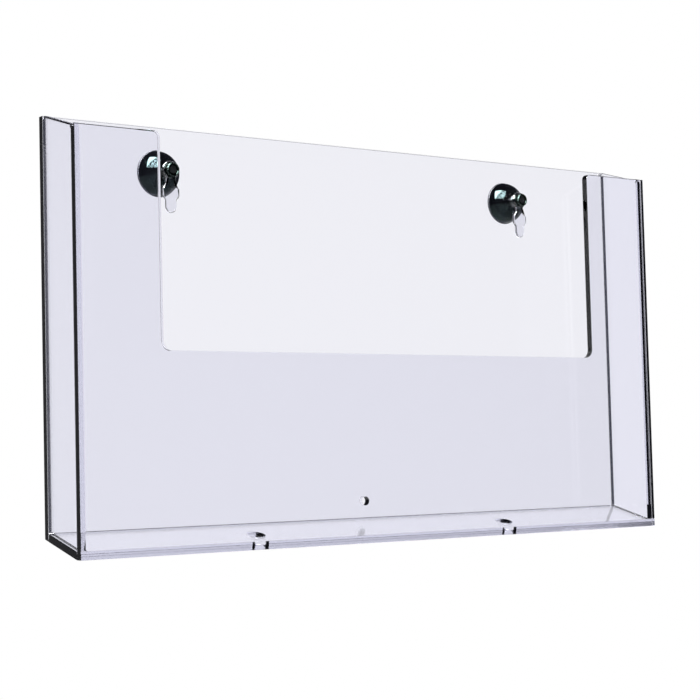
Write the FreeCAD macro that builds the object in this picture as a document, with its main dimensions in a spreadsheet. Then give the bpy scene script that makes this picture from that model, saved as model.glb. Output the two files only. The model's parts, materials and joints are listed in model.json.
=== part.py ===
"""Clear acrylic wall pocket, hung on two screw-down suction fixings.

Frame: millimetres, +Z up, +X along the pocket's width, +Y into the wall. The origin is on
the wall, midway between the two fixings, at the height of their axes.
"""
import FreeCAD
import Part

import math
import os

import Sketcher

DRIVING_SIZES = [
    # The pocket: five cemented sheets
    ("pocket_width", 310.0),
    ("back_height", 170.0),
    ("front_height", 169.2),
    ("pocket_depth", 30.5),
    ("sheet_thickness", 3.2),
    ("floor_fall_deg", 15.0),
    ("ear_width", 38.0),
    ("cutout_depth", 88.0),
    ("cutout_radius", 4.0),
    ("ear_radius", 2.5),
    ("screw_hole_diameter", 4.0),
    ("screw_hole_height", 10.8),
    ("drain_diameter", 8.0),
    ("drain_spacing", 136.0),
    ("drain_setback", 12.5),
    # Where the fixings carry it
    ("wall_gap", 9.0),
    ("fixing_spacing", 194.0),
    ("fixing_drop", 17.8),
    ("panel_hole_clearance", 0.2),
    # The soft cup
    ("cup_diameter", 20.0),
    ("lip_thickness", 1.0),
    ("lip_land", 1.6),
    ("cup_hollow", 0.8),
    ("boss_diameter", 9.0),
    ("boss_top", 4.8),
    # The stud moulded into it
    ("stud_diameter", 4.0),
    ("stud_head_diameter", 6.4),
    ("stud_head_thickness", 1.2),
    ("stud_head_cover", 1.2),
    ("stud_recess", 0.5),
    ("stud_clearance", 0.08),
    # The dome
    ("dome_diameter", 19.4),
    ("dome_rim", 0.6),
    ("dome_curve", 9.9),
    ("dome_wall", 0.8),
    ("dome_land_diameter", 7.6),
    # The neck
    ("neck_diameter", 5.3),
    # The tab
    ("tab_play", 0.1),
    ("tab_bore_clearance", 0.08),
    ("tab_thickness", 1.4),
    ("tab_ring_diameter", 8.0),
    ("tab_waist_width", 4.4),
    ("tab_waist_drop", 5.2),
    ("tab_belly_width", 8.1),
    ("tab_belly_drop", 7.8),
    ("tab_step_drop", 10.9),
    ("tab_finger_drop", 12.5),
    ("tab_finger_width", 5.3),
    ("tab_length", 17.9),
    # The washer and the knob
    ("washer_diameter", 6.6),
    ("washer_thickness", 0.4),
    ("knob_diameter", 6.0),
    ("knob_length", 1.8),
    ("knob_chamfer", 0.35),
    ("knob_flute_radius", 0.35),
    ("knob_flute_inset", 0.2),
]
KNOB_FLUTES = 12
FULL_TURN = 360.0
SAME_PLACE = 1e-4
SIDES = (("left", -1), ("right", 1))

document = FreeCAD.newDocument("wall_pocket")
sheet = document.addObject("Spreadsheet::Sheet", "Sizes")
for row, (alias, amount) in enumerate(DRIVING_SIZES, start=1):
    sheet.set(f"A{row}", alias)
    sheet.set(f"B{row}", str(amount))
    sheet.setAlias(f"B{row}", alias)
document.recompute()


class Size:
    """A length with its number and the sheet formula that gives it, kept together."""

    def __init__(self, number, formula):
        self.number = number
        self.formula = formula

    def _with(self, other, sign, result):
        return Size(result, f"({self.formula} {sign} {as_size(other).formula})")

    def __add__(self, other):
        return self._with(other, "+", self.number + as_size(other).number)

    def __sub__(self, other):
        return self._with(other, "-", self.number - as_size(other).number)

    def __mul__(self, other):
        return self._with(other, "*", self.number * as_size(other).number)

    def __truediv__(self, other):
        return self._with(other, "/", self.number / as_size(other).number)

    def __neg__(self):
        return Size(-self.number, f"(0 - {self.formula})")


def as_size(value):
    """Wrap a plain number, so that sizes and numbers mix in one sum."""
    if isinstance(value, Size):
        return value
    return Size(float(value), repr(float(value)))


def size(alias):
    """The driving size that the sheet holds under this alias."""
    return Size(float(sheet.get(alias)), f"Sizes.{alias}")


def tangent(angle):
    """Tangent of an angle held in degrees."""
    return Size(math.tan(math.radians(angle.number)), f"tan({angle.formula} * 1 deg)")


def cosine(angle):
    """Cosine of an angle held in degrees."""
    return Size(math.cos(math.radians(angle.number)), f"cos({angle.formula} * 1 deg)")


def bind(owner, prop, value):
    """Tie one property to its formula in the sheet."""
    owner.setExpression(prop, as_size(value).formula)


ZERO = as_size(0)


def new_body(label, x=ZERO, y=ZERO, z=ZERO):
    """An empty body whose own origin stands at (x, y, z) in the pocket's frame."""
    body = document.addObject("PartDesign::Body", label)
    body.Label = label
    for axis, value in (("x", x), ("y", y), ("z", z)):
        bind(body, f"Placement.Base.{axis}", value)
    return body


def new_sketch(body, name, plane):
    """A sketch on one of the body's own origin planes, such as XZ_Plane."""
    sketch = body.newObject("Sketcher::SketchObject", f"{body.Label}_{name}")
    support = [item for item in body.Origin.OriginFeatures if item.Role == plane][0]
    sketch.AttachmentSupport = [(support, "")]
    sketch.MapMode = "FlatFace"
    return sketch


def pin_point(sketch, geometry, end, point):
    """Hold one end of a line or arc, or a centre, at a point given by two sizes."""
    for kind, axis, value in (("DistanceX", -2, point[0]), ("DistanceY", -1, point[1])):
        if value.formula == ZERO.formula:
            sketch.addConstraint(Sketcher.Constraint("PointOnObject", geometry, end, axis))
            continue
        rule = Sketcher.Constraint(kind, -1, 1, geometry, end, value.number)
        bind(sketch, f"Constraints[{sketch.addConstraint(rule)}]", value)


def arc_between(start, finish, radius, bulge_side):
    """The short arc from start to finish, and whether it runs anticlockwise.

    The centre lies on the chord's perpendicular bisector, on the side away from the bulge.
    bulge_side is 1 where the arc bulges to the right of the way it is walked, -1 to the left.
    """
    chord = finish - start
    middle = (start + finish) * 0.5
    left = FreeCAD.Vector(-chord.y, chord.x, 0).normalize()
    reach = math.sqrt(max(radius ** 2 - chord.Length ** 2 / 4, 0.0))
    centre = middle + left * reach * bulge_side
    anticlockwise = bulge_side > 0
    first, last = (start, finish) if anticlockwise else (finish, start)
    angles = [math.atan2(p.y - centre.y, p.x - centre.x) for p in (first, last)]
    circle = Part.Circle(centre, FreeCAD.Vector(0, 0, 1), radius)
    return Part.ArcOfCircle(circle, angles[0], angles[1]), anticlockwise


def draw_outline(sketch, corners):
    """Draw one closed outline.

    Each corner is (x, y) for a straight run to the next corner, or (x, y, radius, bulge_side)
    for an arc to it. Every corner is pinned by its sizes, and every arc has its radius bound.
    """
    points = [FreeCAD.Vector(c[0].number, c[1].number, 0) for c in corners]
    ends = []
    for i, corner in enumerate(corners):
        start = points[i]
        finish = points[(i + 1) % len(points)]
        if len(corner) == 2:
            index = sketch.addGeometry(Part.LineSegment(start, finish))
            ends.append((index, 1, 2))
            continue
        arc, anticlockwise = arc_between(start, finish, corner[2].number, corner[3])
        index = sketch.addGeometry(arc)
        ends.append((index, 1, 2) if anticlockwise else (index, 2, 1))
        rule = Sketcher.Constraint("Radius", index, corner[2].number)
        bind(sketch, f"Constraints[{sketch.addConstraint(rule)}]", corner[2])
    for i, (index, first, last) in enumerate(ends):
        following = ends[(i + 1) % len(ends)]
        sketch.addConstraint(Sketcher.Constraint("Coincident", index, last, following[0], following[1]))
        pin_point(sketch, index, first, corners[i])


def draw_circle(sketch, centre, diameter):
    """Draw one full circle with its centre and diameter bound."""
    middle = FreeCAD.Vector(centre[0].number, centre[1].number, 0)
    circle = Part.Circle(middle, FreeCAD.Vector(0, 0, 1), diameter.number / 2)
    index = sketch.addGeometry(circle)
    rule = Sketcher.Constraint("Diameter", index, diameter.number)
    bind(sketch, f"Constraints[{sketch.addConstraint(rule)}]", diameter)
    pin_point(sketch, index, 3, centre)


def pad(body, sketch, length, symmetric=False):
    """Push the sketch out into a solid, along its normal or to both sides evenly."""
    feature = body.newObject("PartDesign::Pad", f"{sketch.Label}_pad")
    feature.Profile = sketch
    feature.SideType = "Symmetric" if symmetric else "One side"
    bind(feature, "Length", length)
    return feature


def cut_through(body, sketch):
    """Cut the sketch right through the body, both ways from its plane, and check that it cut."""
    document.recompute()
    before = body.Shape.Volume
    feature = body.newObject("PartDesign::Pocket", f"{sketch.Label}_cut")
    feature.Profile = sketch
    feature.SideType = "Symmetric"
    feature.Type = "ThroughAll"
    document.recompute()
    if body.Shape.Volume >= before:
        raise RuntimeError(f"{sketch.Label} cut nothing")
    return feature


def revolve(body, corners):
    """Turn an outline of (radius, y) corners about the body's own Y axis."""
    sketch = new_sketch(body, "profile", "XY_Plane")
    draw_outline(sketch, corners)
    feature = body.newObject("PartDesign::Revolution", f"{body.Label}_turned")
    feature.Profile = sketch
    feature.ReferenceAxis = (sketch, ["V_Axis"])
    feature.Angle = FULL_TURN
    return feature


def round_edges(body, base, spots, radius):
    """Round the edges that run along Y through the given (x, z) spots of the body."""
    document.recompute()
    names = []
    for i, edge in enumerate(base.Shape.Edges, start=1):
        ends = [vertex.Point for vertex in edge.Vertexes]
        for x, z in spots:
            if all(math.hypot(p.x - x.number, p.z - z.number) < SAME_PLACE for p in ends):
                names.append(f"Edge{i}")
    if len(names) != len(spots):
        raise RuntimeError(f"{body.Label} has {len(names)} of {len(spots)} edges to round")
    feature = body.newObject("PartDesign::Fillet", f"{base.Label}_round_{len(body.Group)}")
    feature.Base = (base, names)
    bind(feature, "Radius", radius)
    return feature


# Places worked out from the driving sizes
thickness = size("sheet_thickness")
half_width = size("pocket_width") / 2
half_spacing = size("fixing_spacing") / 2
inner_depth = size("pocket_depth") - thickness * 2
floor_slope = tangent(size("floor_fall_deg"))
front_fall = inner_depth * floor_slope
floor_rise = thickness / cosine(size("floor_fall_deg"))

back_top = size("fixing_drop")
back_bottom = back_top - size("back_height")
front_bottom = back_bottom - front_fall
front_top = front_bottom + size("front_height")
back_face = -(size("wall_gap") + thickness)
back_rear_face = -size("wall_gap")
rear_bottom = back_bottom + thickness * floor_slope
front_rear_face = back_face - inner_depth

neck_radius = size("neck_diameter") / 2
panel_hole_diameter = size("neck_diameter") + size("panel_hole_clearance") * 2
dome_top = size("wall_gap")
panel_front = size("wall_gap") + thickness
tab_back = panel_front + size("tab_play")
neck_end = tab_back + size("tab_thickness") + size("tab_play")
knob_back = neck_end + size("washer_thickness")
knob_end = knob_back + size("knob_length")
stud_radius = size("stud_diameter") / 2
stud_hole_radius = stud_radius + size("stud_clearance")


def make_back_panel():
    """Full-width sheet with its foot cut to the floor's slope, drilled for the necks and a screw."""
    body = new_body("back_panel")
    outline = new_sketch(body, "outline", "YZ_Plane")
    draw_outline(outline, [
        (back_face, back_bottom),
        (back_rear_face, rear_bottom),
        (back_rear_face, back_top),
        (back_face, back_top),
    ])
    pad(body, outline, size("pocket_width"), symmetric=True)
    holes = new_sketch(body, "holes", "XZ_Plane")
    for _, sign in SIDES:
        draw_circle(holes, (half_spacing * sign, ZERO), panel_hole_diameter)
    screw_z = back_bottom + size("screw_hole_height")
    draw_circle(holes, (ZERO, screw_z), size("screw_hole_diameter"))
    cut_through(body, holes)
    return body


def make_front_panel():
    """Full-width sheet cut to a U: two tall ears beside a deep cut-out with rounded corners."""
    body = new_body("front_panel", y=front_rear_face)
    outline = new_sketch(body, "outline", "XZ_Plane")
    ear_inside = half_width - size("ear_width")
    cutout_bottom = front_top - size("cutout_depth")
    draw_outline(outline, [
        (-half_width, front_bottom),
        (half_width, front_bottom),
        (half_width, front_top),
        (ear_inside, front_top),
        (ear_inside, cutout_bottom),
        (-ear_inside, cutout_bottom),
        (-ear_inside, front_top),
        (-half_width, front_top),
    ])
    blank = pad(body, outline, thickness)
    low_spots = [(ear_inside * sign, cutout_bottom) for _, sign in SIDES]
    lower = round_edges(body, blank, low_spots, size("cutout_radius"))
    high_spots = [(ear_inside * sign, front_top) for _, sign in SIDES]
    round_edges(body, lower, high_spots, size("ear_radius"))
    return body


def make_side(side, sign):
    """Parallelogram sheet that stands on the floor, between the back and front panels."""
    left_face = half_width * sign - (thickness if sign > 0 else ZERO)
    body = new_body(f"{side}_side", x=left_face)
    outline = new_sketch(body, "outline", "YZ_Plane")
    draw_outline(outline, [
        (front_rear_face, front_bottom + floor_rise),
        (back_face, back_bottom + floor_rise),
        (back_face, back_top),
        (front_rear_face, front_top),
    ])
    pad(body, outline, thickness)
    return body


def make_floor_panel():
    """Full-width sheet under the sides that falls to the front, drilled for drainage."""
    body = new_body("floor_panel")
    outline = new_sketch(body, "outline", "YZ_Plane")
    draw_outline(outline, [
        (front_rear_face, front_bottom),
        (back_face, back_bottom),
        (back_face, back_bottom + floor_rise),
        (front_rear_face, front_bottom + floor_rise),
    ])
    pad(body, outline, size("pocket_width"), symmetric=True)
    holes = new_sketch(body, "holes", "XY_Plane")
    setback = size("drain_setback") - thickness
    fall = size("floor_fall_deg")
    bind(holes, "AttachmentOffset.Base.y", front_rear_face + setback)
    bind(holes, "AttachmentOffset.Base.z", front_bottom + floor_rise + setback * floor_slope)
    holes.AttachmentOffset = FreeCAD.Placement(
        holes.AttachmentOffset.Base, FreeCAD.Rotation(FreeCAD.Vector(1, 0, 0), fall.number))
    bind(holes, "AttachmentOffset.Rotation.Angle", fall)
    for _, sign in SIDES:
        draw_circle(holes, (size("drain_spacing") * sign / 2, ZERO), size("drain_diameter"))
    cut_through(body, holes)
    return body


def make_suction_cup(side, x):
    """Soft cup: a flat land that seals on the wall, a shallow hollow and a boss for the stud."""
    body = new_body(f"{side}_suction_cup", x=x)
    lip = size("cup_diameter") / 2
    land = lip - size("lip_land")
    boss = size("boss_diameter") / 2
    head = size("stud_head_diameter") / 2
    head_back = size("cup_hollow") + size("stud_head_cover")
    head_front = head_back + size("stud_head_thickness")
    lip_front = -size("lip_thickness")
    revolve(body, [
        (ZERO, -size("cup_hollow")),
        (land, ZERO),
        (lip, ZERO),
        (lip, lip_front),
        (land, lip_front),
        (boss, lip_front - size("cup_hollow")),
        (boss, -size("boss_top")),
        (stud_radius, -size("boss_top")),
        (stud_radius, -head_front),
        (head, -head_front),
        (head, -head_back),
        (ZERO, -head_back),
    ])
    return body


def make_stud(side, x):
    """Stud with a round head, moulded into the cup. Its thread is drawn plain."""
    body = new_body(f"{side}_stud", x=x)
    head = size("stud_head_diameter") / 2
    head_back = size("cup_hollow") + size("stud_head_cover")
    head_front = head_back + size("stud_head_thickness")
    tip = knob_end - size("stud_recess")
    revolve(body, [
        (ZERO, -head_back),
        (head, -head_back),
        (head, -head_front),
        (stud_radius, -head_front),
        (stud_radius, -tip),
        (ZERO, -tip),
    ])
    return body


def make_dome_cover(side, x):
    """Thin dome: a short straight rim on the cup's lip and a flat land that the back panel meets."""
    body = new_body(f"{side}_dome_cover", x=x)
    outer = size("dome_diameter") / 2
    inner = outer - size("dome_wall")
    land = size("dome_land_diameter") / 2
    rim_back = size("lip_thickness")
    rim_front = rim_back + size("dome_rim")
    curve = size("dome_curve")
    revolve(body, [
        (inner, -rim_back),
        (outer, -rim_back),
        (outer, -rim_front, curve, -1),
        (land, -dome_top),
        (stud_hole_radius, -dome_top),
        (stud_hole_radius, -dome_top + size("dome_wall")),
        (land, -dome_top + size("dome_wall"), curve - size("dome_wall"), 1),
        (inner, -rim_front),
    ])
    return body


def make_neck_sleeve(side, x):
    """Plain tube clamped on the dome's land, on which the back panel and the tab hang."""
    body = new_body(f"{side}_neck_sleeve", x=x)
    revolve(body, [
        (stud_hole_radius, -neck_end),
        (stud_hole_radius, -dome_top),
        (neck_radius, -dome_top),
        (neck_radius, -neck_end),
    ])
    return body


def make_tab(side, x):
    """Clear flat tab: a ring on the neck, a waist, a wider belly and a finger with a round end."""
    body = new_body(f"{side}_tab", x=x, y=-tab_back)
    waist = size("tab_waist_width") / 2
    belly = size("tab_belly_width") / 2
    finger = size("tab_finger_width") / 2
    round_start = finger - size("tab_length")
    tongue = new_sketch(body, "tongue", "XZ_Plane")
    draw_outline(tongue, [
        (waist, ZERO),
        (waist, -size("tab_waist_drop")),
        (belly, -size("tab_belly_drop")),
        (belly, -size("tab_step_drop")),
        (finger, -size("tab_finger_drop")),
        (finger, round_start, finger, -1),
        (ZERO, -size("tab_length"), finger, -1),
        (-finger, round_start),
        (-finger, -size("tab_finger_drop")),
        (-belly, -size("tab_step_drop")),
        (-belly, -size("tab_belly_drop")),
        (-waist, -size("tab_waist_drop")),
        (-waist, ZERO),
    ])
    pad(body, tongue, size("tab_thickness"))
    ring = new_sketch(body, "ring", "XZ_Plane")
    draw_circle(ring, (ZERO, ZERO), size("tab_ring_diameter"))
    pad(body, ring, size("tab_thickness"))
    bore = new_sketch(body, "bore", "XZ_Plane")
    draw_circle(bore, (ZERO, ZERO), size("neck_diameter") + size("tab_bore_clearance") * 2)
    cut_through(body, bore)
    return body


def make_washer(side, x):
    """Flat ring that the knob clamps on the end of the neck, so that the tab stays free."""
    body = new_body(f"{side}_washer", x=x)
    edge = size("washer_diameter") / 2
    revolve(body, [
        (stud_hole_radius, -knob_back),
        (stud_hole_radius, -neck_end),
        (edge, -neck_end),
        (edge, -knob_back),
    ])
    return body


def make_knob(side, x):
    """Round nut with a chamfered face and small flutes for the fingers. Its thread is drawn plain."""
    body = new_body(f"{side}_knob", x=x)
    edge = size("knob_diameter") / 2
    chamfer = size("knob_chamfer")
    revolve(body, [
        (stud_hole_radius, -knob_end),
        (stud_hole_radius, -knob_back),
        (edge, -knob_back),
        (edge, -knob_end + chamfer),
        (edge - chamfer, -knob_end),
    ])
    flute = new_sketch(body, "flute", "XZ_Plane")
    flute_centre = edge + size("knob_flute_radius") - size("knob_flute_inset")
    draw_circle(flute, (flute_centre, ZERO), size("knob_flute_radius") * 2)
    one_flute = cut_through(body, flute)
    flutes = body.newObject("PartDesign::PolarPattern", f"{side}_knob_flutes")
    flutes.Originals = [one_flute]
    flutes.Axis = (flute, ["N_Axis"])
    flutes.Angle = FULL_TURN
    flutes.Occurrences = KNOB_FLUTES
    body.Tip = flutes
    return body


nodes = [make_back_panel(), make_front_panel(), make_floor_panel()]
for side, sign in SIDES:
    nodes.append(make_side(side, sign))
    axis_x = half_spacing * sign
    for make_piece in (make_suction_cup, make_stud, make_dome_cover, make_neck_sleeve,
                       make_tab, make_washer, make_knob):
        nodes.append(make_piece(side, axis_x))
document.recompute()

for item in document.Objects:
    if "Invalid" in item.State or "Error" in item.State:
        raise RuntimeError(f"{item.Label} failed: {item.State}")
for node in nodes:
    if node.Shape.isNull() or not node.Shape.isValid() or len(node.Shape.Solids) != 1:
        raise RuntimeError(f"{node.Label} is not one valid solid")

os.makedirs("parts", exist_ok=True)
for node in nodes:
    node.Shape.exportStep(f"parts/{node.Label}.step")
    box = node.Shape.BoundBox
    print(f"{node.Label}: {node.Shape.Volume:.2f} mm3,"
          f" x {box.XMin:.2f} to {box.XMax:.2f},"
          f" y {box.YMin:.2f} to {box.YMax:.2f},"
          f" z {box.ZMin:.2f} to {box.ZMax:.2f}")
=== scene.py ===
# %% [markdown]
# # A clear wall pocket on two suction fixings
#
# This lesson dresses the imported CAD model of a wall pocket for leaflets: five sheets of clear
# acrylic, cemented into an open-topped box and hung on two dark chromed suction fixings. The CAD
# model settles where every piece sits and how it moves. Here each piece gets the eased edges, the
# finish and the light that it has in life.

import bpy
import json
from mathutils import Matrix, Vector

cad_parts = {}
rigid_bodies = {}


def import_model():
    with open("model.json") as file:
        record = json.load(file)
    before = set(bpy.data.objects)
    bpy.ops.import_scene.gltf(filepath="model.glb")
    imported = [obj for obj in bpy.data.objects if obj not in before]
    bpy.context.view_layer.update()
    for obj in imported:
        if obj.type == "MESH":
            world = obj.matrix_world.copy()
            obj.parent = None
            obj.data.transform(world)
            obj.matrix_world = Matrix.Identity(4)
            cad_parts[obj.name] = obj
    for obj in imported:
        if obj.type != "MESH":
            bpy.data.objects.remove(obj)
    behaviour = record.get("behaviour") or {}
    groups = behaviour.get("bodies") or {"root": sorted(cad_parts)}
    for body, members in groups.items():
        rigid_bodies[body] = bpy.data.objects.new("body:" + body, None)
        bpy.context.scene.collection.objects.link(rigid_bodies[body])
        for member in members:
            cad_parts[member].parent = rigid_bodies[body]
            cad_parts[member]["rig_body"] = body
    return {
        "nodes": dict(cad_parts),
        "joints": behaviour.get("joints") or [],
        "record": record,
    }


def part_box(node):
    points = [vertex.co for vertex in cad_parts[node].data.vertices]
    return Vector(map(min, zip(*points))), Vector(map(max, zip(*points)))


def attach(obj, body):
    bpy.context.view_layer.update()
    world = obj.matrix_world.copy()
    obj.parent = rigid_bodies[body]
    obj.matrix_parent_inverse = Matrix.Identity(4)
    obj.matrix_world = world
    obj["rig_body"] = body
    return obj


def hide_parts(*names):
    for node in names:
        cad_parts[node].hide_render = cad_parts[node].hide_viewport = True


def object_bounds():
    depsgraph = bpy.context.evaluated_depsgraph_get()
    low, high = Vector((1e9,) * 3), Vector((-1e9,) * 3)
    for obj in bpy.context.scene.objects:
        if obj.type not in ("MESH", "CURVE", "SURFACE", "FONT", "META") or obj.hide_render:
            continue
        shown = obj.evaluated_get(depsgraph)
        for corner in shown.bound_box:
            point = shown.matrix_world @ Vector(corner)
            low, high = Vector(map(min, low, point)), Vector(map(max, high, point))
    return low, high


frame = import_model()
cad_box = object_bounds()
print("CAD box", [tuple(round(v, 4) for v in corner) for corner in cad_box])

# %% [markdown]
# ## Sizes
#
# A piece that stands in for a CAD node has to fit that node, so the sizes are read from the model
# wherever they can be: from the nodes' boxes, the mounts and the joints. Only sizes that show in
# none of these, such as the radius of a corner, are written down again, in millimetres.

# %% Read the sizes
import json

import bpy
import numpy as np
from mathutils import Matrix
from mathutils.geometry import tessellate_polygon

MM = 0.001


def corners(node):
    """Lowest and highest corner of a CAD node, as two points in metres."""
    return [np.array(corner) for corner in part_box(node)]


back_low, back_high = corners("back_panel")
front_low, front_high = corners("front_panel")
side_low, side_high = corners("left_side")
half_width = back_high[0]
sheet = back_high[1] - back_low[1]
slope = (back_low[2] - front_low[2]) / (back_low[1] - front_high[1])
mounts = {mount["name"]: mount for mount in frame["record"]["mounts"]}
joints = {joint["name"]: joint for joint in frame["joints"]}
print(f"sheet {sheet / MM:.2f} mm, floor falls {np.degrees(np.arctan(slope)):.1f} degrees")

# %% [markdown]
# ## Putting arrays into meshes
#
# Every piece below is worked out as whole arrays of points. One helper turns points and faces into
# a mesh object, turns the faces outwards, hides the CAD node that the piece stands in for, and
# hangs the piece on the body that the node rides on. The sign of the enclosed volume shows which
# way the faces point.

# %% Arrays to pieces
CUBIC_CM = 0.01 ** 3
NO_TRIANGLES = np.zeros((0, 3), int)


def volume(points, triangles):
    """Enclosed volume: a sixth of the sum of a . (b x c) over the triangles."""
    a, b, c = (points[triangles[:, i]] for i in range(3))
    return np.einsum("ij,ij->", a, np.cross(b, c)) / 6


def grid_quads(rows, columns, rows_meet):
    """Quads of a grid of points, row after row, whose columns run round and meet."""
    row = np.arange(rows if rows_meet else rows - 1)[:, None]
    column = np.arange(columns)[None]
    below = (row + 1) % rows
    beside = (column + 1) % columns
    quads = (row * columns + column, below * columns + column,
             below * columns + beside, row * columns + beside)
    return np.stack(quads, -1).reshape(-1, 4)


def add_piece(name, points, quads, triangles, material, node, smooth_below=None, stands_in=True):
    """One closed mesh that stands in for a CAD node, or that only lies on it.

    Where faces meet at less than smooth_below degrees, the edge between them is smoothed.
    """
    split = np.concatenate([quads[:, [0, 1, 2]], quads[:, [0, 2, 3]], triangles])
    inside = volume(points, split)
    turn = 1 if inside > 0 else -1
    faces = quads[:, ::turn].tolist() + triangles[:, ::turn].tolist()
    mesh = bpy.data.meshes.new(name)
    mesh.from_pydata(points.tolist(), [], faces)
    if smooth_below:
        mesh.shade_smooth()
        mesh.set_sharp_from_angle(angle=np.radians(smooth_below))
    mesh.materials.append(material)
    piece = bpy.data.objects.new(name, mesh)
    bpy.context.scene.collection.objects.link(piece)
    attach(piece, frame["nodes"][node]["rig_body"])
    if stands_in:
        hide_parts(node)
    print(f"{name}: {len(points)} points, {abs(inside) / CUBIC_CM:.3f} cm3")


# %% [markdown]
# ## Clear acrylic
#
# Cast acrylic bends light with an index of 1.49 and takes up a little of it on the way, more red
# and green than blue here, so a sheet is darker along its edges, where light travels far inside
# it: an absorbing volume gives that. Face on, each surface's colour greys the sheet a little with a
# lavender cast: partly acrylic's own faint cast, partly painted shade. A lamp's shadow rays pass
# straight through, as thin clear sheet hardly shades. Very low, broad waves in the surface are what
# casting between plates leaves.


# %% Clear acrylic
def linear(code):
    """Linear colour of an sRGB hex code: each channel through the sRGB curve, then full alpha."""
    shown = np.array([int(code[i:i + 2], 16) for i in (0, 2, 4)]) / 255
    light = np.where(shown <= 0.04045, shown / 12.92, ((shown + 0.055) / 1.055) ** 2.4)
    return (*light, 1.0)


def add_node(tree, kind, inputs, **settings):
    """One node of a tree; each input is a constant, or the output socket that it is linked to."""
    node = tree.nodes.new(kind)
    for name, value in settings.items():
        setattr(node, name, value)
    for key, value in inputs.items():
        if isinstance(value, bpy.types.NodeSocket):
            tree.links.new(value, node.inputs[key])
        else:
            node.inputs[key].default_value = value
    return node


def new_material(name):
    """An empty material and its node tree."""
    material = bpy.data.materials.new(name)
    material.use_nodes = True
    material.node_tree.nodes.clear()
    return material, material.node_tree


def clear_plastic(name, index, colour, wave, wave_height, tint, density, shade):
    """Clear plastic with a refractive index and low waves of a given breadth and height.

    The colour is what a surface lets through, the tint what is left of light that travels inside,
    the more so the higher the density, and the shade what a lamp's shadow rays keep.
    """
    material, tree = new_material(name)
    place = add_node(tree, "ShaderNodeTexCoord", {})
    waves = add_node(tree, "ShaderNodeTexNoise", {
        "Vector": place.outputs["Object"], "Scale": 1 / wave, "Detail": 1.0})
    bump = add_node(tree, "ShaderNodeBump", {
        "Height": waves.outputs["Fac"], "Strength": 1.0, "Distance": wave_height})
    glass = add_node(tree, "ShaderNodeBsdfPrincipled", {
        "Base Color": linear(colour), "Roughness": 0.0, "IOR": index, "Transmission Weight": 1.0,
        "Normal": bump.outputs["Normal"]})
    through = add_node(tree, "ShaderNodeBsdfTransparent", {"Color": linear(shade)})
    path = add_node(tree, "ShaderNodeLightPath", {})
    surface = add_node(tree, "ShaderNodeMixShader", {
        "Fac": path.outputs["Is Shadow Ray"], 1: glass.outputs[0], 2: through.outputs[0]})
    uptake = add_node(tree, "ShaderNodeVolumeAbsorption", {
        "Color": linear(tint), "Density": density})
    add_node(tree, "ShaderNodeOutputMaterial", {
        "Surface": surface.outputs[0], "Volume": uptake.outputs[0]})
    print("finish", name)
    return material


# The surface colour F8F8FE is partly acrylic's faint lavender cast and partly painted shade, which
# greys each sheet face on.
acrylic = clear_plastic(
    "cast_acrylic_with_painted_shade", index=1.49, colour="F8F8FE", wave=40 * MM, wave_height=0.004 * MM,
    tint="0000BC", density=2.0, shade="F2F2F8")

# %% [markdown]
# ## Outlines of the sheets
#
# A sheet is sawn to an outline, drilled, and its edges are flame-polished, which leaves every edge
# slightly round. An outline here is a list of corners, each with the radius that it is rounded to.
# Holes are circles that run the other way, so that the material is always on the left. A bevel
# modifier could round the edges too, but here each edge can have a radius of its own.

# %% Outlines
ARC_STEP = np.radians(9)
FEWEST_STEPS = 3
EASE_STEPS = 4
RIM_ROWS = 2 * (EASE_STEPS + 1)


def rounded_loop(points):
    """Closed outline through corners (u, v, radius).

    The edges leave a corner along unit vectors a and b. An arc of radius r touches both of them
    r / tan(half the angle between them) from the corner, and its points turn evenly from a to b.
    """
    loop = []
    for i, (u, v, radius) in enumerate(points):
        corner = np.array([u, v])
        if radius == 0:
            loop.append(corner[None])
            continue
        a = np.array(points[i - 1][:2]) - corner
        b = np.array(points[(i + 1) % len(points)][:2]) - corner
        a, b = a / np.linalg.norm(a), b / np.linalg.norm(b)
        half = np.arccos(np.clip(a @ b, -1, 1)) / 2
        centre = corner + (a + b) / np.linalg.norm(a + b) * radius / np.sin(half)
        start = corner + a * radius / np.tan(half) - centre
        end = corner + b * radius / np.tan(half) - centre
        sweep = np.pi - 2 * half
        steps = max(FEWEST_STEPS, int(np.ceil(sweep / ARC_STEP)))
        share = np.linspace(0, 1, steps + 1)[:, None]
        turn = np.sin((1 - share) * sweep) * start + np.sin(share * sweep) * end
        loop.append(centre + turn / np.sin(sweep))
    return np.concatenate(loop)


def hole(u, v, radius, squash=1.0, sides=64):
    """A clockwise circle, flattened along v by squash."""
    angle = -np.arange(sides) * 2 * np.pi / sides
    return np.stack([u + radius * np.cos(angle), v + squash * radius * np.sin(angle)], -1)


def inward(loop):
    """For each point of a loop, the step towards the material that moves both its edges in by one.

    With m and n the unit normals to the left of the two edges, this is (m + n) / (1 + m . n).
    """
    edge = np.roll(loop, -1, 0) - loop
    normal = np.stack([-edge[:, 1], edge[:, 0]], -1) / np.linalg.norm(edge, axis=1)[:, None]
    before = np.roll(normal, 1, 0)
    return (normal + before) / (1 + (normal * before).sum(1))[:, None]


def eased_rim(thickness, ease):
    """Inset and height of an eased edge from one face of a sheet to the other, as quarter rounds.

    The rows run from face to face. There is a column for each point of an outline, and each point
    has its own radius: inset = ease (1 - sin t), depth below the face = ease (1 - cos t).
    """
    turn = np.linspace(0, np.pi / 2, EASE_STEPS + 1)
    inset = np.outer(1 - np.sin(turn), ease)
    height = thickness / 2 - np.outer(1 - np.cos(turn), ease)
    return np.concatenate([inset, inset[::-1]]), np.concatenate([height, -height[::-1]])


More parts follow.
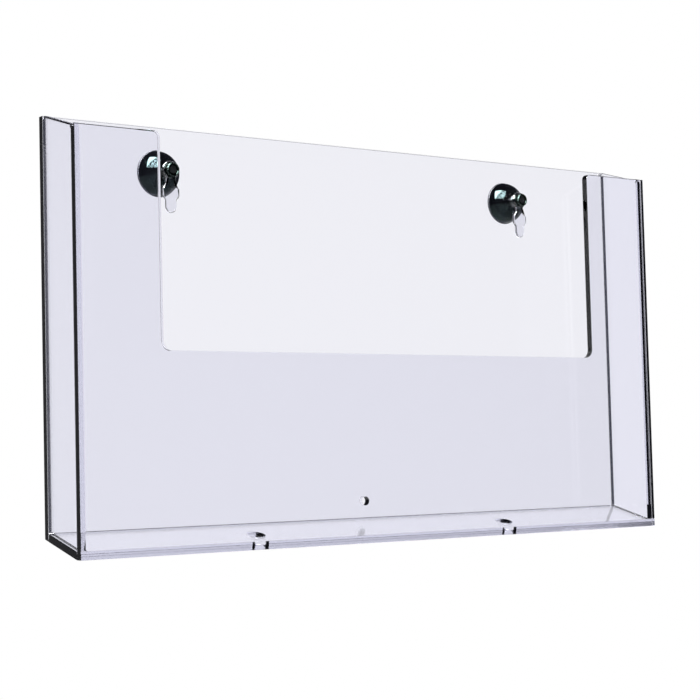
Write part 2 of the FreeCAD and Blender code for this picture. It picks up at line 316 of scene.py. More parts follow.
def eased_sheet(loops, thickness, ease):
    """Points (u, v, n), quads and triangles of a flat sheet: an outer loop, then its holes.

    Each loop becomes a stack of rings that follows the eased rim, and the two faces are filled
    between the first rings and between the last ones. The ease is a radius, or a function that
    gives one for each point of a loop.
    """
    points, quads, first, start = [], [], [], 0
    for loop in loops:
        radius = ease(loop) if callable(ease) else np.full(len(loop), ease)
        inset, height = eased_rim(thickness, radius)
        ring = loop + inset[..., None] * inward(loop)
        points.append(np.concatenate([ring, height[..., None]], -1).reshape(-1, 3))
        quads.append(grid_quads(RIM_ROWS, len(loop), False) + start)
        first.append(start + np.arange(len(loop)))
        start += RIM_ROWS * len(loop)
    points, quads, ends = np.concatenate(points), np.concatenate(quads), np.concatenate(first)
    faces = [points[ring] * (1, 1, 0) for ring in first]
    fill = np.array(tessellate_polygon([face.tolist() for face in faces]))
    flat = np.concatenate(faces)
    a, b, c = (flat[fill[:, i]] for i in range(3))
    clockwise = np.cross(b - a, c - a)[:, 2] < 0
    fill[clockwise] = fill[clockwise][:, ::-1]
    lengths = np.concatenate([np.full(len(loop), len(loop)) for loop in loops])
    last = ends + (RIM_ROWS - 1) * lengths
    return points, quads, np.concatenate([ends[fill], last[fill][:, ::-1]])


# %% [markdown]
# ## Back and front sheets
#
# The back sheet is a rectangle whose foot is cut to the floor's slope. It has three holes: two for
# the fixings and a screw hole low in the middle. The front sheet has a deep cut-out between two
# ears, so that a hand can reach the leaflets. Its free edges are polished rounder than its foot.
#
# Sheets that touch are cemented on the real pocket. Two clear surfaces in exactly the same place
# confuse the renderer, so each sheet is drawn a trace thinner and the sides stop a trace short.

# %% Back and front sheets
# Edges are rounded by EASE, or by FREE_EASE where a hand touches them; EDGE rounds an outline's
# square corners. JOINT is the trace between two sheets, and PANEL_PLAY the play round a neck.
EDGE = 0.2 * MM
EASE = 0.12 * MM
FREE_EASE = 0.24 * MM
JOINT = 0.04 * MM
PANEL_PLAY = 0.2 * MM
EAR_WIDTH = 38 * MM
CUTOUT_DEPTH = 88 * MM
CUTOUT_RADIUS = 4 * MM
EAR_RADIUS = 2.5 * MM

fixings = {side: np.array(joints[f"{side}_tab_swing"]["pos_m"]) for side in ("left", "right")}
neck_low, neck_high = corners("left_neck_sleeve")
neck_radius = (neck_high[0] - neck_low[0]) / 2
panel_hole = neck_radius + PANEL_PLAY


def upright(points, low, high):
    """A sheet that faces the room: u runs along X, v along Z and n towards -Y."""
    return np.stack([points[:, 0], (low[1] + high[1]) / 2 - points[:, 2], points[:, 1]], -1)


def rectangle(u0, v0, u1, v1):
    """A rectangle's corners, each with an outline's small radius."""
    return [(u0, v0, EDGE), (u1, v0, EDGE), (u1, v1, EDGE), (u0, v1, EDGE)]


def front_ease(loop):
    """Radius of the front's edge: rounder on the ears and the cut-out than along the foot."""
    return np.where(loop[:, 1] > front_low[2] + sheet, FREE_EASE, EASE)


screw = mounts["back_screw_hole"]
back_loops = [rounded_loop(rectangle(-half_width, back_low[2], half_width, back_high[2]))]
back_loops += [hole(at[0], at[2], panel_hole) for at in fixings.values()]
back_loops.append(hole(screw["pos_m"][0], screw["pos_m"][2], screw["dims"]["r_mm"] * MM))
points, quads, triangles = eased_sheet(back_loops, sheet - JOINT, EASE)
foot = points[:, 1] < back_low[2] + sheet / 2
points[foot, 1] += slope * (sheet / 2 - points[foot, 2])
add_piece("back_sheet", upright(points, back_low, back_high), quads, triangles, acrylic,
          "back_panel")

ear = half_width - EAR_WIDTH
cutout = front_high[2] - CUTOUT_DEPTH
front_loop = rounded_loop([
    (-half_width, front_low[2], EDGE), (half_width, front_low[2], EDGE),
    (half_width, front_high[2], EDGE), (ear, front_high[2], EAR_RADIUS),
    (ear, cutout, CUTOUT_RADIUS), (-ear, cutout, CUTOUT_RADIUS),
    (-ear, front_high[2], EAR_RADIUS), (-half_width, front_high[2], EDGE)])
points, quads, triangles = eased_sheet([front_loop], sheet - JOINT, front_ease)
add_piece("front_sheet", upright(points, front_low, front_high), quads, triangles, acrylic,
          "front_panel")

# %% [markdown]
# ## Side and floor sheets
#
# The sides fill the gap between front and back, and slope at both ends like the floor. Their free
# tops are well rounded, while their cemented edges stay crisp. The floor falls towards the front so
# that dust and spilt water run to its two drain holes. It is drawn in plan and then sheared: its
# height grows with Y, while its ends stay upright. It runs a trace into the front and the back, as
# set cement makes one body of them. The drain holes are drilled square to the slope, so their walls
# lean.

# %% Side and floor sheets
TOP_EASE = 1.0 * MM
JOINT_EASE = 0.04 * MM


def side_sheet(points, middle):
    """A sheet that closes an end: u runs along Y, v along Z and n along X."""
    return np.stack([middle + points[:, 2], points[:, 0], points[:, 1]], -1)


front_face, back_face = front_high[1] + JOINT, back_low[1] - JOINT
depth = back_face - front_face
top_fall = (side_high[2] - front_high[2]) / depth


def side_ease(loop):
    """Radius of a side's edge: round along its free sloping top, crisp where it is cemented."""
    top = front_high[2] + top_fall * (loop[:, 0] - front_face)
    return np.where(loop[:, 1] > top - TOP_EASE, TOP_EASE, JOINT_EASE)


# The square points two radii under the top keep its rounding from reaching further down.
side_loop = rounded_loop([
    (front_face, side_low[2] + JOINT, EDGE), (back_face, side_low[2] + JOINT + slope * depth, EDGE),
    (back_face, side_high[2] - 2 * TOP_EASE, 0), (back_face, side_high[2], EDGE),
    (front_face, front_high[2], EDGE), (front_face, front_high[2] - 2 * TOP_EASE, 0)])
points, quads, triangles = eased_sheet([side_loop], sheet - JOINT, side_ease)
for side, sign in (("left", -1), ("right", 1)):
    middle = sign * (half_width - sheet / 2)
    add_piece(f"{side}_side_sheet", side_sheet(points, middle), quads, triangles, acrylic,
              f"{side}_side")

drains = [mounts["left_drain_hole"], mounts["right_drain_hole"]]
tilt = np.arctan(slope)
rise = sheet / np.cos(tilt)
floor_loops = [rounded_loop(rectangle(
    -half_width, front_high[1] - JOINT, half_width, back_low[1] + JOINT))]
for drain in drains:
    x, y, _ = drain["pos_m"]
    floor_loops.append(hole(x, y, drain["dims"]["r_mm"] * MM, np.cos(tilt)))
points, quads, triangles = eased_sheet(floor_loops, rise - JOINT, JOINT_EASE)
outer = RIM_ROWS * len(floor_loops[0])
points[outer:, 1] -= points[outer:, 2] * np.cos(tilt) * np.sin(tilt)
points[:, 2] += back_low[2] + rise / 2 + slope * (points[:, 1] - back_low[1])
add_piece("floor_sheet", points, quads, triangles, acrylic, "floor_panel")

# %% [markdown]
# ## Cement beads
#
# Where the sides and the floor were cemented to each other and to the back, the cement crept out
# into the corners and set as a fine hollow bead. It is clear and bends light steeply; its dark line
# is painted shade, from a nearly black, very dense uptake. The front was put on last and left no
# bead inside. Each bead is one small profile carried along its corner.

# %% Cement beads
BEAD = 0.3 * MM
SIDE_BEAD = 0.7 * MM
BEAD_STEPS = 8
SMOOTH_BELOW = 30
# Painted shade: the nearly black tint at a very high density draws each clear bead as an almost
# black line.
cement = clear_plastic(
    "cement_painted_dark", index=1.49, colour="FFFFFF", wave=5 * MM, wave_height=0.004 * MM,
    tint="000020", density=8000.0, shade="F2F2F8")


def bead(start, end, first_wall, second_wall, leg=BEAD):
    """A hollow-faced prism along a corner, whose legs lie along the directions of two walls.

    With t from 0 to 90 degrees, its face is at (1 - sin t) and (1 - cos t) legs along the walls.
    """
    turn = np.linspace(0, np.pi / 2, BEAD_STEPS + 1)
    legs = np.stack([1 - np.sin(turn), 1 - np.cos(turn)], -1) * leg
    legs = JOINT + np.concatenate([[[0, 0]], legs])
    ring = legs @ np.array([first_wall, second_wall])
    points = np.concatenate([start + ring, end + ring])
    count = len(ring)
    fan = np.stack([np.zeros(count - 2, int), np.arange(1, count - 1), np.arange(2, count)], -1)
    return points, grid_quads(2, count, False), np.concatenate([fan[:, ::-1], fan + count])


inside = half_width - sheet
foot_back = np.array([0, back_low[1], back_low[2] + rise])
foot_front = np.array([0, front_high[1], front_low[2] + rise])
uphill = (foot_back - foot_front) / np.linalg.norm(foot_back - foot_front)
along_x, upwards = np.array([1, 0, 0]), np.array([0, 0, 1])
top = back_high[2] - foot_back[2] - BEAD
beads = {"floor_back": bead(
    foot_back - inside * along_x, foot_back + inside * along_x, upwards, -uphill)}
for side, sign in (("left", -1), ("right", 1)):
    corner = foot_back + sign * inside * along_x
    beads[f"{side}_back"] = bead(corner + BEAD * upwards, corner + top * upwards, -sign * along_x,
                                 np.array([0, -1, 0]))
    beads[f"{side}_floor"] = bead(foot_front + sign * inside * along_x, corner - BEAD * uphill,
                                  -sign * along_x, upwards, SIDE_BEAD)
for name, shape in beads.items():
    add_piece(f"cement_bead_{name}", *shape, cement, "floor_panel", SMOOTH_BELOW, stands_in=False)

# %% [markdown]
# ## Turned pieces
#
# Cup, stud, dome, neck, washer and knob are all round about the fixing's axis, like work from a
# lathe, so each is a profile carried round a circle. A profile is a list of (radius, distance in
# front of the wall, corner radius). Flutes and screw threads are cut by a limit on the radius that
# depends on the angle and the distance, which needs no booleans.


# %% Turned pieces
def turned(profile, at, sides=96, limit=None):
    """A profile of (radius, distance from the wall) carried round the axis through at.

    At the angle t a profile point lies at (radius cos t, -distance, radius sin t). If the profile
    starts and ends on the axis, those two ends are single points with fans of triangles.
    """
    angle = np.arange(sides) * 2 * np.pi / sides
    solid = profile[0, 0] == 0
    rim = profile[1:-1] if solid else profile
    radius = np.repeat(rim[:, :1], sides, 1)
    distance = np.repeat(rim[:, 1:], sides, 1)
    if limit:
        radius = np.minimum(radius, limit(angle, distance))
    grid = np.stack([radius * np.cos(angle), -distance, radius * np.sin(angle)], -1)
    points = grid.reshape(-1, 3)
    quads = grid_quads(len(rim), sides, not solid)
    triangles = NO_TRIANGLES
    if solid:
        poles = np.stack([[0, -profile[0, 1], 0], [0, -profile[-1, 1], 0]])
        this, beside = np.arange(sides), np.roll(np.arange(sides), -1)
        last = (len(rim) - 1) * sides
        near = np.stack([np.full(sides, len(points)), this, beside], -1)
        far = np.stack([np.full(sides, len(points) + 1), last + beside, last + this], -1)
        points, triangles = np.concatenate([points, poles]), np.concatenate([near, far])
    return points + (at[0], 0, at[2]), quads, triangles


def arc(start, end, radius, steps=28):
    """Points from start to end on a circle that bulges away from the axis, as corners of radius 0.

    The centre lies on the chord's perpendicular, sqrt(radius^2 - (chord / 2)^2) from its middle.
    """
    start, end = np.array(start), np.array(end)
    chord = end - start
    half = np.linalg.norm(chord) / 2
    away = np.array([chord[1], -chord[0]]) / (2 * half)
    away *= np.sign(away[0])
    centre = (start + end) / 2 - away * np.sqrt(radius ** 2 - half ** 2)
    first, last = (np.arctan2(*(end_point - centre)[::-1]) for end_point in (start, end))
    turn = np.linspace(first, last, steps + 1)
    return [(centre[0] + radius * np.cos(t), centre[1] + radius * np.sin(t), 0) for t in turn]


def profile(points):
    """A rounded profile in metres from corners in millimetres."""
    return rounded_loop(points) * MM


# %% [markdown]
# ## Finishes of the fixings
#
# The domes, necks, washers and knobs are plated nearly black and polished: they mirror the room,
# but only a little of its light comes back, with a slight green cast. A metallic shader with a very
# dark colour does that, and fine handling marks, about two millimetres apart, vary the polish. The
# cup's soft PVC is dark with a satin skin, and the stud's blackened steel is duller than the
# chrome: the same recipe makes both. The tabs are moulded from a clear plastic that bends light a
# little more than acrylic does. Their grey surface colour and strong uptake are painted shade,
# which darkens each tab, most along its rounded edges.

# %% Dark chrome, soft PVC, steel and moulded plastic
# Most of a noise texture's values lie between these two.
NOISE_LOW = 0.3
NOISE_HIGH = 0.7


def opaque(name, colour, metallic, smooth, rough, grain, grain_height):
    """Opaque finish whose roughness wanders between two values over grains of the given size."""
    material, tree = new_material(name)
    place = add_node(tree, "ShaderNodeTexCoord", {})
    noise = add_node(tree, "ShaderNodeTexNoise", {
        "Vector": place.outputs["Object"], "Scale": 1 / grain, "Detail": 4.0})
    polish = add_node(tree, "ShaderNodeMapRange", {
        "Value": noise.outputs["Fac"], "From Min": NOISE_LOW, "From Max": NOISE_HIGH,
        "To Min": smooth, "To Max": rough})
    bump = add_node(tree, "ShaderNodeBump", {
        "Height": noise.outputs["Fac"], "Strength": 1.0, "Distance": grain_height})
    body = add_node(tree, "ShaderNodeBsdfPrincipled", {
        "Base Color": linear(colour), "Metallic": metallic, "Roughness": polish.outputs["Result"],
        "Normal": bump.outputs["Normal"]})
    add_node(tree, "ShaderNodeOutputMaterial", {"Surface": body.outputs[0]})
    print("finish", name)
    return material


chrome = opaque(
    "dark_chrome_plate", colour="242D2B", metallic=1.0, smooth=0.03, rough=0.07,
    grain=2 * MM, grain_height=0.0004 * MM)
soft_pvc = opaque(
    "soft_dark_pvc", colour="2A2D30", metallic=0.0, smooth=0.35, rough=0.5,
    grain=1.5 * MM, grain_height=0.002 * MM)
steel = opaque(
    "blackened_steel", colour="3A3B3D", metallic=1.0, smooth=0.25, rough=0.4,
    grain=0.6 * MM, grain_height=0.001 * MM)
# The tab's surface colour, tint and density are painted shade: they darken the clear tab, most along
# its rounded edges.
moulded = clear_plastic(
    "moulded_plastic_painted_shade", index=1.53, colour="FAFAFF", wave=6 * MM, wave_height=0.004 * MM,
    tint="8C8CA8", density=40.0, shade="EEEEF2")

# %% [markdown]
# ## Dome, neck and cup
#
# The soft cup sticks to the wall. The dome presses its lip flat, and its flat crown meets the back
# sheet. The neck is a short tube on that crown: the back sheet and the tab hang on it. The dome's
# curve is one arc, carried round: a scaled sphere would not leave the flat crown.

# %% Dome, neck and cup
cup_low, cup_high = (corner / MM for corner in corners("left_suction_cup"))
dome_low, dome_high = (corner / MM for corner in corners("left_dome_cover"))
stud_low, stud_high = (corner / MM for corner in corners("left_stud"))
cup_edge = (cup_high[0] - cup_low[0]) / 2
dome_edge = (dome_high[0] - dome_low[0]) / 2
stud_head = (stud_high[0] - stud_low[0]) / 2
neck_edge = neck_radius / MM
dome_rear, dome_front = -dome_high[1], -dome_low[1]
neck_front = -neck_low[1] / MM
head_rear, stud_front = -stud_high[1], -stud_low[1]
cup_front = -cup_low[1]

# The dome: height of its upright rim, radius of its curve, its wall and the radius of its crown.
DOME_RIM = 0.6
DOME_CURVE = 9.9
DOME_WALL = 0.8
DOME_LAND = 3.8
# The stud: its own radius, that of the holes round it, and the height of its head.
STUD = 2.0
STUD_HOLE = 2.08
HEAD = 1.2
# The cup: depth of its hollow, the radius where that ends, the lip's thickness, the height of the
# shoulder and the radius of the boss.
CUP_HOLLOW = 0.8
CUP_SEAT = 8.4
CUP_LIP = 1.0
CUP_SHOULDER = 1.8
CUP_BOSS = 4.5
# Radii of corners: a metal edge that is just broken, and the rounder ones.
BROKEN = 0.1
DOME_FOOT = 0.2
NECK_ROUND = 0.15
LIP_ROUND = 0.3
CUP_FILLET = 0.5
BOSS_ROUND = 0.4

DOME_SIDES = 128
rim_front = dome_rear + DOME_RIM
inner_front = dome_front - DOME_WALL
shank_rear = head_rear + HEAD
dome_profile = profile(
    [(dome_edge - DOME_WALL, dome_rear, BROKEN), (dome_edge, dome_rear, DOME_FOOT)]
    + arc((dome_edge, rim_front), (DOME_LAND, dome_front), DOME_CURVE)
    + [(STUD_HOLE, dome_front, 0), (STUD_HOLE, inner_front, 0)]
    + arc((DOME_LAND, inner_front), (dome_edge - DOME_WALL, rim_front), DOME_CURVE - DOME_WALL))
neck_profile = profile([
    (STUD_HOLE, dome_front, BROKEN), (neck_edge, dome_front, BROKEN),
    (neck_edge, neck_front, NECK_ROUND), (STUD_HOLE, neck_front, NECK_ROUND)])
cup_profile = profile([
    (0, CUP_HOLLOW, 0), (CUP_SEAT, 0, LIP_ROUND), (cup_edge, 0, LIP_ROUND),
    (cup_edge, CUP_LIP, LIP_ROUND), (CUP_SEAT, CUP_LIP, CUP_FILLET),
    (CUP_BOSS, CUP_SHOULDER, CUP_FILLET), (CUP_BOSS, cup_front, BOSS_ROUND), (STUD, cup_front, 0),
    (STUD, shank_rear, 0), (stud_head, shank_rear, 0), (stud_head, head_rear, 0), (0, head_rear, 0)])

for side, at in fixings.items():
    add_piece(f"{side}_dome", *turned(dome_profile, at, DOME_SIDES), chrome, f"{side}_dome_cover",
              SMOOTH_BELOW)
    add_piece(f"{side}_neck", *turned(neck_profile, at), chrome, f"{side}_neck_sleeve",
              SMOOTH_BELOW)
    add_piece(f"{side}_cup", *turned(cup_profile, at), soft_pvc, f"{side}_suction_cup",
              SMOOTH_BELOW)

# %% [markdown]
# ## Stud, washer and knob
#
# A threaded stud runs from the cup to the knob, and the knob pulls everything together. The thread
# is a groove that winds once round for each 0.7 mm of length, and the knob's grip is twelve flutes.

# %% Stud, washer and knob
PITCH = 0.7
THREAD_DEPTH = 0.3
THREAD_LEAD = 0.1
RINGS_PER_PITCH = 8
STUD_TIP = 0.3
STUD_SIDES = 64
STUD_SMOOTH_BELOW = 40
FLUTES = 12
FLUTE = 0.35
FLUTE_INSET = 0.2
CHAMFER = 0.35
KNOB_BORE_ROUND = 0.35
KNOB_SIDES = 288
WASHER_BORE_ROUND = 0.05
washer_low, washer_high = (corner / MM for corner in corners("left_washer"))
knob_low, knob_high = (corner / MM for corner in corners("left_knob"))
washer_edge = (washer_high[0] - washer_low[0]) / 2
knob_edge = (knob_high[0] - knob_low[0]) / 2
washer_rear, washer_front = -washer_high[1], -washer_low[1]
knob_rear, knob_front = -knob_high[1], -knob_low[1]


def thread(angle, distance):
    """Radius left by the thread: down by its depth and back once a pitch, later with the angle.

    The head, which lies behind the thread, gets a limit wider than itself.
    """
    turns = distance / (PITCH * MM) - angle / (2 * np.pi)
    groove = THREAD_DEPTH * np.abs(2 * (turns % 1) - 1)
    return np.where(distance > (shank_rear + THREAD_LEAD) * MM, STUD - groove, 2 * STUD) * MM


def fluted(angle, distance):
    """Radius left by round flutes of radius f whose centres lie at the radius c.

    At the angle t from a flute's middle it is c cos t - sqrt(f^2 - (c sin t)^2) where the flute
    reaches, and the knob's own radius elsewhere.
    """
    from_flute = (angle + np.pi / FLUTES) % (2 * np.pi / FLUTES) - np.pi / FLUTES
    centre = knob_edge + FLUTE - FLUTE_INSET
    reach = FLUTE ** 2 - (centre * np.sin(from_flute)) ** 2
    cut = centre * np.cos(from_flute) - np.sqrt(np.maximum(reach, 0))
    return np.where(reach > 0, cut, knob_edge) * MM


rings = np.arange(shank_rear, stud_front - STUD_TIP, PITCH / RINGS_PER_PITCH)
stud_profile = profile(
    [(0, head_rear, 0), (stud_head, head_rear, BROKEN), (stud_head, shank_rear, BROKEN)]
    + [(STUD, ring, 0) for ring in rings]
    + [(STUD - STUD_TIP, stud_front, 0), (0, stud_front, 0)])
washer_profile = profile([
    (STUD_HOLE, washer_rear, WASHER_BORE_ROUND), (washer_edge, washer_rear, BROKEN),
    (washer_edge, washer_front, BROKEN), (STUD_HOLE, washer_front, WASHER_BORE_ROUND)])
knob_profile = profile([
    (STUD_HOLE, knob_rear, 0), (knob_edge, knob_rear, BROKEN),
    (knob_edge, knob_front - CHAMFER, BROKEN), (knob_edge - CHAMFER, knob_front, BROKEN),
    (STUD_HOLE, knob_front, KNOB_BORE_ROUND)])

for side, at in fixings.items():
    add_piece(f"{side}_threaded_stud", *turned(stud_profile, at, STUD_SIDES, thread), steel,
              f"{side}_stud", STUD_SMOOTH_BELOW)
    add_piece(f"{side}_thin_washer", *turned(washer_profile, at), chrome, f"{side}_washer",
              SMOOTH_BELOW)
    add_piece(f"{side}_fluted_knob", *turned(knob_profile, at, KNOB_SIDES, fluted), chrome,
              f"{side}_knob", SMOOTH_BELOW)

# %% [markdown]
# ## Tabs
#
# A clear flat tab swings on each neck: a ring, a narrow waist, a wider belly and a finger with a
# round end. Moulded pieces have soft outlines, so the width eases from one station to the next. The
# tab is a grid between its bore and its outline, carried over the rim to the other face and back.

# %% Tabs
TAB_BORE = 2.73
RING = 4.0
TAB_EASE = 0.65
TAB_SMOOTH_BELOW = 35
TIP_POINTS = 20
STRIP_POINTS = 72
RING_POINTS = 30
FACE_ROWS = 14
tab_low, tab_high = (corner / MM for corner in corners("left_tab"))
tab_length = -tab_low[2]
tab_stock = tab_high[1] - tab_low[1]
# Half-widths at stations down from the axis: both ends of the waist, the belly and the finger.
TAB_DROP = np.array([3.34, 4.9, 8.1, 10.6, 12.8, tab_length])
TAB_HALF = np.array([2.2, 2.2, 4.05, 4.05, 2.65, 2.65])


def half_width_at(drop):
    """Half-width of the tab at a drop below the axis.

    With s the share of the way between two stations, it eases over as 3 s^2 - 2 s^3. The finger
    ends in a half round, sqrt(r^2 - d^2) at the distance d into it.
    """
    i = np.clip(np.searchsorted(TAB_DROP, drop, "right") - 1, 0, len(TAB_DROP) - 2)
    share = (drop - TAB_DROP[i]) / (TAB_DROP[i + 1] - TAB_DROP[i])
    half = TAB_HALF[i] + (TAB_HALF[i + 1] - TAB_HALF[i]) * share ** 2 * (3 - 2 * share)
    into_end = np.clip(drop - (tab_length - TAB_HALF[-1]), 0, TAB_HALF[-1])
    return np.minimum(half, np.sqrt(TAB_HALF[-1] ** 2 - into_end ** 2) + half - TAB_HALF[-1])


def tab_outline():
    """Right half from the tip up the strip and over the ring, then its mirror image."""
    drop = np.concatenate([
        tab_length - TAB_HALF[-1] * (1 - np.cos(np.linspace(0, np.pi / 2, TIP_POINTS))),
        np.linspace(tab_length - TAB_HALF[-1], TAB_DROP[0], STRIP_POINTS)[1:]])
    turn = np.linspace(-np.arcsin(TAB_DROP[0] / RING), np.pi / 2, RING_POINTS)[1:]
    across = np.concatenate([half_width_at(drop), RING * np.cos(turn)])
    along = np.concatenate([-drop, RING * np.sin(turn)])
    right = np.stack([across, along], -1)
    return np.concatenate([right, (right * (-1, 1))[-2:0:-1]])


def tab_grid():
    """Points (u, v, n): across the front face, over the rim, back behind and out of the bore."""
    outer = tab_outline()
    angle = np.arctan2(outer[:, 1], outer[:, 0])
    bore = TAB_BORE * np.stack([np.cos(angle), np.sin(angle)], -1)
    inset, height = eased_rim(tab_stock, np.full(len(outer), TAB_EASE))
    rim = outer + inset[..., None] * inward(outer)
    inner = bore + inset[..., None] * bore / TAB_BORE
    share = np.linspace(0, 1, FACE_ROWS)[1:-1, None, None]
    face = inner[0] + share * (rim[0] - inner[0])
    flat = np.concatenate([face, rim, face[::-1], inner[::-1]])
    front = np.full(face.shape[:2], tab_stock / 2)
    level = np.concatenate([front, height, -front, height[::-1]])
    return np.concatenate([flat, level[..., None]], -1) * MM


grid = tab_grid()
tab_points = upright(grid.reshape(-1, 3), tab_low * MM, tab_high * MM)
tab_quads = grid_quads(*grid.shape[:2], True)
for side, at in fixings.items():
    add_piece(f"{side}_clear_tab", tab_points + (at[0], 0, at[2]), tab_quads, NO_TRIANGLES, moulded,
              f"{side}_tab", TAB_SMOOTH_BELOW)

# %% [markdown]
# ## Camera
#
# The photograph was taken from the left, a little below the middle of the pocket, with a long lens
# and a slight roll. These numbers come from fitting the pocket's straight edges to it.

# %% Camera
CAMERA_AT = np.array([-467.82, -646.37, -121.58]) * MM
AZIMUTH, ELEVATION, ROLL = np.radians([-36.0875, -3.4739, -1.4315])
FOCAL_PIXELS = 1758.06
PHOTO_PIXELS = 700
NEAREST = 10 * MM


def looking(azimuth, elevation):
    """Unit vector from the pocket towards a viewer at that azimuth and elevation."""
    level = np.cos(elevation)
    return np.array([np.sin(azimuth) * level, -np.cos(azimuth) * level, np.sin(elevation)])


back = looking(AZIMUTH, ELEVATION)
right = np.cross(-back, [0, 0, 1])
right /= np.linalg.norm(right)
up = np.cross(back, right)
rolled_right = np.cos(ROLL) * right + np.sin(ROLL) * up
rolled_up = np.cos(ROLL) * up - np.sin(ROLL) * right
camera = bpy.data.objects.new("camera", bpy.data.cameras.new("camera"))
camera.data.lens = camera.data.sensor_width * FOCAL_PIXELS / PHOTO_PIXELS
camera.data.clip_start = NEAREST
camera.location = CAMERA_AT
camera.rotation_euler = Matrix((rolled_right, rolled_up, back)).transposed().to_euler()
bpy.context.scene.collection.objects.link(camera)
bpy.context.scene.camera = camera
print(f"lens {camera.data.lens:.1f} mm")

# %% [markdown]
# ## Studio
#
# What the camera sees behind the pocket, directly or straight through the acrylic, is a white
# backdrop. Rays that were mirrored on their way see that white only where they run towards the
# wall, and a dim room elsewhere, so the sheets stay clear, their edges draw dark lines and the
# chrome stays dark. Diffuse surfaces get a soft share of white from all round. Far below, a pale
# floor takes the pocket's shadow and fades into the white. Soft boxes above the viewer put the
# bright windows on the domes.

# %% Studio
WHITE = linear("FFFFFF")
DIM_ROOM = linear("3A3B46")
FLOOR_PAINT = linear("F4F4F4")
# Share of the white that reaches diffuse surfaces.
FILL = 0.6
# A count of mirrored bounces below this one means a ray that ran straight through.
HALF_BOUNCE = 0.5
# For each kind of mirrored ray, how far its direction lies along +Y where the white starts, and
# where it is full.
WHITE_ALONG_Y = {"Is Transmission Ray": (0.0, 0.2), "Is Glossy Ray": (0.85, 1.1)}
# The floor, in metres: below the pocket, half its side, and where it starts and ends its fade.
FLOOR_DROP = 0.3
FLOOR_HALF = 3
FADE_START = 0.35
FADE_END = 0.9


def white_seen(tree, path, place):
    """How much of the white each kind of ray sees, by the light path node that tells the kinds.

    The camera sees it in full, also straight through the sheets. The place is a point of the studio
    as seen from the pocket. A ray that was mirrored on its way sees white where that direction runs
    into the wall, along +Y, and the dim room elsewhere.
    """
    direction = add_node(tree, "ShaderNodeVectorMath", {0: place}, operation="NORMALIZE")
    parts = add_node(tree, "ShaderNodeSeparateXYZ", {0: direction.outputs["Vector"]})
    straight = add_node(tree, "ShaderNodeMath", {
        0: path.outputs["Glossy Depth"], 1: HALF_BOUNCE}, operation="LESS_THAN")
    seen = path.outputs["Is Camera Ray"]
    for kind, (start, full) in WHITE_ALONG_Y.items():
        share = add_node(tree, "ShaderNodeMapRange", {
            "Value": parts.outputs["Y"], "From Min": start, "From Max": full})
        most = add_node(tree, "ShaderNodeMath", {
            0: straight.outputs[0], 1: share.outputs["Result"]}, operation="MAXIMUM")
        part = add_node(tree, "ShaderNodeMath", {
            0: path.outputs[kind], 1: most.outputs[0]}, operation="MULTIPLY")
        seen = add_node(tree, "ShaderNodeMath", {0: seen, 1: part.outputs[0]},
                        operation="MAXIMUM").outputs[0]
    return seen


scene = bpy.context.scene
scene.view_settings.view_transform = "Standard"
scene.world = bpy.data.worlds.new("studio")
scene.world.use_nodes = True
sky = scene.world.node_tree
sky.nodes.clear()
place = add_node(sky, "ShaderNodeTexCoord", {})
path = add_node(sky, "ShaderNodeLightPath", {})
seen = white_seen(sky, path, place.outputs["Generated"])
soft = add_node(sky, "ShaderNodeMath", {
    0: path.outputs["Is Diffuse Ray"], 1: FILL}, operation="MULTIPLY")
strength = add_node(sky, "ShaderNodeMath", {0: seen, 1: soft.outputs[0]}, operation="MAXIMUM")
room = add_node(sky, "ShaderNodeBackground", {"Color": DIM_ROOM, "Strength": 1.0})
backdrop = add_node(sky, "ShaderNodeBackground", {"Color": WHITE, "Strength": 1.0})
around = add_node(sky, "ShaderNodeMixShader", {
    "Fac": strength.outputs[0], 1: room.outputs[0], 2: backdrop.outputs[0]})
add_node(sky, "ShaderNodeOutputWorld", {"Surface": around.outputs[0]})

# %% [markdown]
# ## Floor and lamps
#
# The floor is one large square. Its paint is plain and matt near the pocket, where the shadow falls,
# and turns into the white of the backdrop further out, so that no horizon shows. The key lamp lights
# the object; the larger window card is there to be mirrored, so diffuse surfaces do not see it.

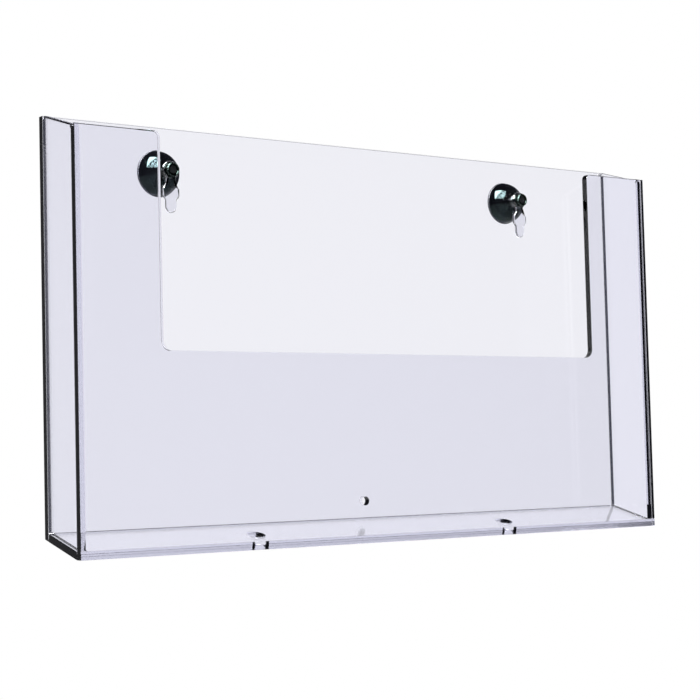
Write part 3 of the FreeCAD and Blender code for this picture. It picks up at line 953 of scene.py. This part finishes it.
# %% Floor and lamps
floor_paint, tree = new_material("pale_floor")
place = add_node(tree, "ShaderNodeTexCoord", {})
path = add_node(tree, "ShaderNodeLightPath", {})
far = add_node(tree, "ShaderNodeVectorMath", {0: place.outputs["Object"]}, operation="LENGTH")
seen = white_seen(tree, path, place.outputs["Object"])
fade = add_node(tree, "ShaderNodeMapRange", {
    "Value": far.outputs["Value"], "From Min": FADE_START, "From Max": FADE_END, "To Max": seen},
    interpolation_type="SMOOTHSTEP")
paint = add_node(tree, "ShaderNodeBsdfDiffuse", {"Color": FLOOR_PAINT})
white = add_node(tree, "ShaderNodeEmission", {"Color": WHITE, "Strength": 1.0})
mixed = add_node(tree, "ShaderNodeMixShader", {
    "Fac": fade.outputs["Result"], 1: paint.outputs[0], 2: white.outputs[0]})
add_node(tree, "ShaderNodeOutputMaterial", {"Surface": mixed.outputs[0]})

square = np.array([[-1, -1], [1, -1], [1, 1], [-1, 1]]) * FLOOR_HALF
level = np.full((4, 1), cad_box[0][2] - FLOOR_DROP)
floor_mesh = bpy.data.meshes.new("floor")
floor_mesh.from_pydata(np.concatenate([square, level], 1).tolist(), [], [[0, 1, 2, 3]])
floor_mesh.materials.append(floor_paint)
floor = bpy.data.objects.new("floor", floor_mesh)
scene.collection.objects.link(floor)
middle = (np.array(cad_box[0]) + np.array(cad_box[1])) / 2


def add_softbox(name, azimuth, elevation, distance, size, watts):
    """A square lamp that faces the middle of the pocket from a direction given in degrees."""
    lamp = bpy.data.objects.new(name, bpy.data.lights.new(name, "AREA"))
    toward = looking(*np.radians([azimuth, elevation]))
    side = np.cross([0, 0, 1], toward)
    side /= np.linalg.norm(side)
    lamp.location = middle + toward * distance
    lamp.rotation_euler = Matrix((side, np.cross(toward, side), toward)).transposed().to_euler()
    lamp.data.size = size
    lamp.data.energy = watts
    scene.collection.objects.link(lamp)
    print(f"{name}: {watts} W, {size} m wide, {distance} m away")
    return lamp


add_softbox("key_softbox", azimuth=-40, elevation=45, distance=1.4, size=0.8, watts=14)
window = add_softbox("window_card", azimuth=-60, elevation=53, distance=1.3, size=1.25, watts=320)
window.visible_diffuse = False
